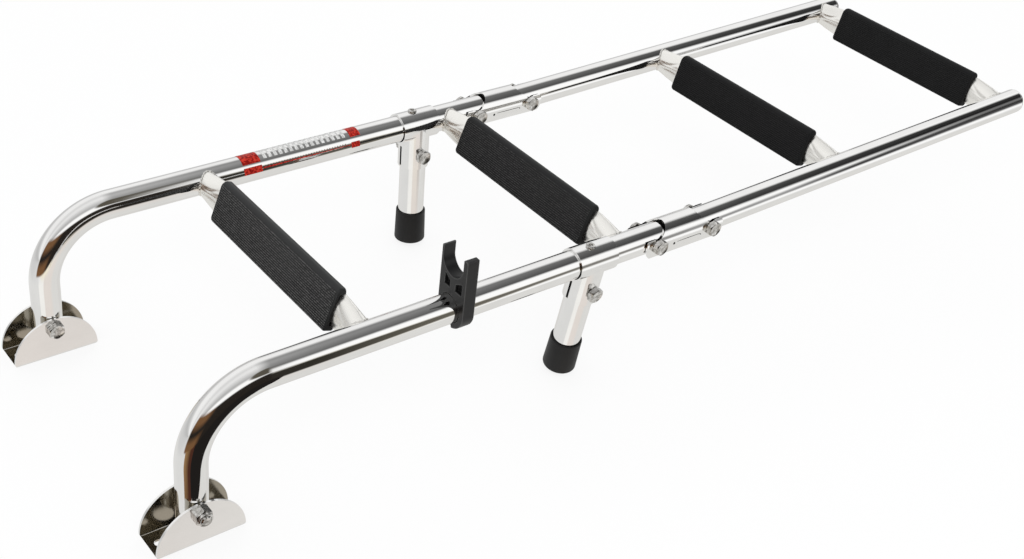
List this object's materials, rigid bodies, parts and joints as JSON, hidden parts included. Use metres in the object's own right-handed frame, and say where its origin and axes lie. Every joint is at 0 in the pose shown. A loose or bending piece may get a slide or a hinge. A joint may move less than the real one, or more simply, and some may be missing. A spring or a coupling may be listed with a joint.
{
  "type": "boat boarding ladder",
  "caption": "Stainless tube boarding ladder with deck brackets, standoff legs, black step covers and a lower section that folds back on double pivot hinges.",
  "frame": {"origin": "centre of the left bracket's underside, on the mounting surface", "axes": "+X along the ladder from the brackets to the free end, +Y from the left rail to the right rail, +Z away from the mounting surface"},
  "size_m": [1.0183, 0.3124, 0.1823],
  "materials": {
    "polished_steel": "mirror polished stainless steel",
    "fastener_steel": "plain stainless steel",
    "black_tread": "ribbed black plastic",
    "black_cap": "satin black plastic",
    "black_clip": "satin black plastic"
  },
  "bodies": {
    "brackets": {"bracket_left": "polished_steel", "bracket_bolt_left": "fastener_steel", "bracket_nut_left": "fastener_steel", "bracket_right": "polished_steel", "bracket_bolt_right": "fastener_steel", "bracket_nut_right": "fastener_steel"},
    "upper_section": {"upper_rail_left": "polished_steel", "leg_clamp_left": "polished_steel", "leg_tube_left": "polished_steel", "leg_cap_left": "black_cap", "leg_bolt_left": "fastener_steel", "leg_nut_left": "fastener_steel", "clamp_screw_left": "fastener_steel", "upper_rail_right": "polished_steel", "leg_clamp_right": "polished_steel", "leg_tube_right": "polished_steel", "leg_cap_right": "black_cap", "leg_bolt_right": "fastener_steel", "leg_nut_right": "fastener_steel", "clamp_screw_right": "fastener_steel", "rung_1": "polished_steel", "rung_2": "polished_steel", "tread_1": "black_tread", "tread_2": "black_tread", "stow_clip": "black_clip"},
    "hinge_links": {"hinge_sleeve_left": "polished_steel", "hinge_pivot_bolt_left": "fastener_steel", "hinge_pivot_nut_left": "fastener_steel", "hinge_fold_bolt_left": "fastener_steel", "hinge_fold_nut_left": "fastener_steel", "hinge_sleeve_right": "polished_steel", "hinge_pivot_bolt_right": "fastener_steel", "hinge_pivot_nut_right": "fastener_steel", "hinge_fold_bolt_right": "fastener_steel", "hinge_fold_nut_right": "fastener_steel"},
    "lower_section": {"lower_rail_left": "polished_steel", "rail_plug_left": "polished_steel", "lower_rail_right": "polished_steel", "rail_plug_right": "polished_steel", "rung_3": "polished_steel", "rung_4": "polished_steel", "tread_3": "black_tread", "tread_4": "black_tread"}
  },
  "joints": [
    {"name": "bracket_swing", "type": "hinge", "parent": "brackets", "child": "upper_section", "pos_m": [0, 0, 0.029], "axis": [0, -1, 0], "range_deg": [0, 90]},
    {"name": "hinge_link_turn", "type": "hinge", "parent": "upper_section", "child": "hinge_links", "pos_m": [0.4425, 0, 0.129], "axis": [0, -1, 0], "range_deg": [0, 92.85]},
    {"name": "lower_section_fold", "type": "hinge", "parent": "hinge_links", "child": "lower_section", "pos_m": [0.5075, 0, 0.129], "axis": [0, -1, 0], "range_deg": [0, 91.35]}
  ]
}
